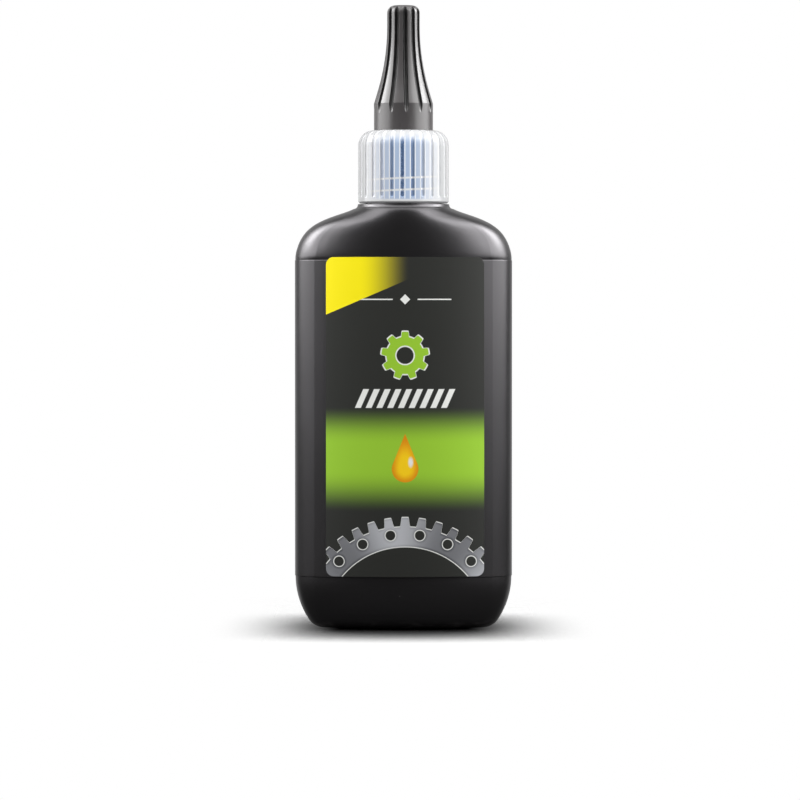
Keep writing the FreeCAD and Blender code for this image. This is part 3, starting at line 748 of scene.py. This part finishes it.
def moulded_grey(look):
    """Dark moulded plastic with rubbed lands, painted shade deep in the flutes and a gate mark on
    top.
    """
    low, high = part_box("tip_cap")
    skin = Finish("moulded_grey")
    radius = hypotenuse(skin.x, skin.y)
    grain = skin.noise(look.grain_size)
    top = skin.z.rising(high.z - look.gate_reach, high.z - look.gate_blur)
    gate = (radius - look.gate_radius).inside(look.gate_blur) * top
    height = grain * look.grain_depth - gate * look.gate_depth

    rubbed = skin.noise(look.rub_size, detail=4.0, stretch=(1.0, 1.0, 4.0)).rising(*look.rub_span)
    # Painted shade: near black deep in the flutes where walls close in, with less gloss there
    land = skin.open_side(look.flute_reach).rising(*look.land_span)
    crease = low.z + look.collar_height
    fluted = skin.z.rising(crease - look.crease_blur, crease + look.crease_blur)
    roughness = look.collar_roughness + (look.roughness - look.collar_roughness) * fluted
    color = skin.blend(rubbed, look.color, look.worn_color)
    return skin.surface({
        "Base Color": skin.blend(land, look.flute_painted_shade, color),
        "Roughness": roughness + look.rub_roughness * rubbed,
        "Specular IOR Level": look.specular,
        "Coat Weight": look.gloss * land,
        "Coat Roughness": look.roughness,
        "Coat IOR": look.coat_ior,
        "Normal": skin.relief(height, look.edge_radius),
    })


def white_foam(look):
    """White foam with small closed cells, with painted shade in their sunken middles."""
    foam = Finish("white_foam")
    # The cells' sunken middles get a darker colour as painted shade
    cell = foam.cells(look.pore_size, "Distance")
    return foam.surface({
        "Base Color": foam.blend(cell.rising(*look.pore_span), look.pore_painted_shade, look.color),
        "Roughness": look.roughness,
        "Normal": foam.relief(cell * look.pore_depth, look.edge_radius),
    })


# Stage

def white_surroundings(look):
    """White all round for what is seen, and softer as light."""
    world = bpy.data.worlds.new("studio")
    world.use_nodes = True
    tree = world.node_tree
    tree.nodes.clear()
    camera, glossy, through = (
        add_node(tree, "ShaderNodeLightPath", {}, {}, ray)
        for ray in ("Is Camera Ray", "Is Glossy Ray", "Is Transmission Ray")
    )
    toward = add_node(tree, "ShaderNodeTexCoord", {}, {}, "Generated")
    backward = add_node(tree, "ShaderNodeSeparateXYZ", {}, {"Vector": toward}, "Y")
    mirrored = look.room + (look.backdrop - look.room) * backward.rising(*look.backdrop_span)
    seen = camera.most(through)
    strength = look.ambient + (1.0 - look.ambient) * seen + (mirrored - look.ambient) * glossy
    light = add_node(tree, "ShaderNodeBackground", {}, {"Color": WHITE, "Strength": strength})
    add_node(tree, "ShaderNodeOutputWorld", {}, {"Surface": light})
    bpy.context.scene.world = world


def pale_floor(look):
    """Pale floor that keeps the shadow, adds a painted contact shadow near the bottle and fades into
    the white.
    """
    paint = Finish("pale_floor")
    camera, through = (
        paint.node("ShaderNodeLightPath", {}, {}, ray)
        for ray in ("Is Camera Ray", "Is Transmission Ray")
    )
    reach = {"Distance": look.shade_reach}
    settings = {"samples": SHADE_SAMPLES}
    # Painted shadow: the floor's colour darkens where the bottle closes in overhead, as a contact
    # shade
    open_sky = paint.node("ShaderNodeAmbientOcclusion", settings, reach, "AO")
    shaded = paint.blend(open_sky ** look.shade_depth, BLACK, look.floor_seen)
    color = paint.blend(camera.most(through), look.floor_color, shaded)
    matt = paint.node("ShaderNodeBsdfDiffuse", {}, {"Color": color})
    clear = paint.node("ShaderNodeBsdfTransparent", {}, {})
    away = hypotenuse(paint.x, paint.y).rising(look.floor_fade, look.floor_radius)
    away = away.most(abs(paint.x).rising(look.side_fade, look.side_end))
    mixed = paint.node("ShaderNodeMixShader", {}, {0: away, 1: matt, 2: clear})
    paint.node("ShaderNodeOutputMaterial", {}, {"Surface": mixed})
    return paint.material


def softbox(name, place, aim, watts, width, tall):
    """A rectangular lamp at a place, turned to a point."""
    bpy.ops.object.light_add(type="AREA", location=place)
    lamp = bpy.context.object
    lamp.name = name
    lamp.data.energy = watts
    lamp.data.shape = "RECTANGLE"
    lamp.data.size = width
    lamp.data.size_y = tall
    lamp.visible_camera = False
    toward = aim - lamp.location
    lamp.rotation_euler = toward.to_track_quat("-Z", "Y").to_euler()


# Operators

class BOTTLE_OT_dress_bottle(bpy.types.Operator):
    """Puts satin black plastic on the bottle"""

    bl_idname = "lube_bottle.dress_bottle"
    bl_label = "Dress bottle"

    def execute(self, context):
        wear("bottle", satin_black(context.scene.bottle_finish))
        return {"FINISHED"}


class BOTTLE_OT_print_label(bpy.types.Operator):
    """Prints the film on the front"""

    bl_idname = "lube_bottle.print_label"
    bl_label = "Print label"

    def execute(self, context):
        wear("front_label", printed_film(context.scene.label_print))
        return {"FINISHED"}


class BOTTLE_OT_dress_washer(bpy.types.Operator):
    """Puts white foam on the sealing washer"""

    bl_idname = "lube_bottle.dress_washer"
    bl_label = "Dress washer"

    def execute(self, context):
        wear("seal_washer", white_foam(context.scene.washer_finish))
        return {"FINISHED"}


class BOTTLE_OT_dress_closure(bpy.types.Operator):
    """Puts milky plastic on the screw closure"""

    bl_idname = "lube_bottle.dress_closure"
    bl_label = "Dress closure"

    def execute(self, context):
        wear("closure", milky_plastic(context.scene.closure_finish))
        return {"FINISHED"}


class BOTTLE_OT_dress_tip_cap(bpy.types.Operator):
    """Puts dark moulded plastic on the tip cap"""

    bl_idname = "lube_bottle.dress_tip_cap"
    bl_label = "Dress tip cap"

    def execute(self, context):
        wear("tip_cap", moulded_grey(context.scene.cap_finish))
        return {"FINISHED"}


class BOTTLE_OT_set_stage(bpy.types.Operator):
    """Sets up the floor, the white surroundings, the lamps and the camera"""

    bl_idname = "lube_bottle.set_stage"
    bl_label = "Set stage"

    def execute(self, context):
        look = context.scene.bottle_studio
        low, high = cad_box
        aim = (low + high) / 2
        context.scene.view_settings.view_transform = "Standard"
        white_surroundings(look)

        bpy.ops.object.select_all(action="DESELECT")
        bpy.ops.mesh.primitive_circle_add(
            vertices=FLOOR_SIDES, radius=look.floor_radius, fill_type="NGON")
        floor = context.object
        floor.name = "floor"
        floor.data.materials.append(pale_floor(look))

        left = (-look.side_distance, -look.left_forward, look.side_height)
        right = (look.side_distance, -look.right_forward, look.side_height)
        softbox("left_softbox", left, aim, look.left_power, look.side_width, look.side_tall)
        softbox("right_softbox", right, aim, look.right_power, look.side_width, look.side_tall)
        for side, name in ((-1.0, "left_rim"), (1.0, "right_rim")):
            place = (side * look.rim_side, look.rim_back, look.rim_height)
            softbox(name, place, aim, look.rim_power, look.rim_size, look.rim_size)
        softbox("top_softbox", (0.0, -look.top_forward, look.top_height), aim, look.top_power,
                look.top_width, look.top_deep)

        place = (look.camera_side, -look.camera_distance, look.camera_height)
        dip = math.atan2(look.camera_height - look.aim_height, look.camera_distance)
        bpy.ops.object.camera_add(location=place, rotation=(math.pi / 2 - dip, 0.0, 0.0))
        camera = context.object
        camera.data.sensor_width = SENSOR_WIDTH
        camera.data.lens = SENSOR_WIDTH * look.camera_distance / look.frame_width
        context.scene.camera = camera
        return {"FINISHED"}


OPERATORS = (
    BOTTLE_OT_dress_bottle,
    BOTTLE_OT_print_label,
    BOTTLE_OT_dress_washer,
    BOTTLE_OT_dress_closure,
    BOTTLE_OT_dress_tip_cap,
    BOTTLE_OT_set_stage,
)


# Panel and registration

class BOTTLE_PT_looks(bpy.types.Panel):
    """Sizes, colours and steps of the bottle's looks"""

    bl_idname = "BOTTLE_PT_looks"
    bl_label = "Chain lube bottle"
    bl_space_type = "VIEW_3D"
    bl_region_type = "UI"
    bl_category = "Bottle"

    def draw(self, context):
        for name, group in GROUPS.items():
            box = self.layout.box()
            box.label(text=group.__doc__)
            for setting in group.__annotations__:
                box.prop(getattr(context.scene, name), setting)
        for operator in OPERATORS:
            self.layout.operator(operator.bl_idname)


def register():
    for name, group in GROUPS.items():
        bpy.utils.register_class(group)
        setattr(bpy.types.Scene, name, bpy.props.PointerProperty(type=group))
    for operator in OPERATORS:
        bpy.utils.register_class(operator)
    bpy.utils.register_class(BOTTLE_PT_looks)


def unregister():
    bpy.utils.unregister_class(BOTTLE_PT_looks)
    for operator in reversed(OPERATORS):
        bpy.utils.unregister_class(operator)
    for name, group in reversed(GROUPS.items()):
        delattr(bpy.types.Scene, name)
        bpy.utils.unregister_class(group)


def main():
    """Dresses the pieces and sets the stage."""
    register()
    bpy.ops.lube_bottle.dress_bottle()
    bpy.ops.lube_bottle.print_label()
    bpy.ops.lube_bottle.dress_washer()
    bpy.ops.lube_bottle.dress_closure()
    bpy.ops.lube_bottle.dress_tip_cap()
    bpy.ops.lube_bottle.set_stage()


if __name__ == "__main__":
    main()
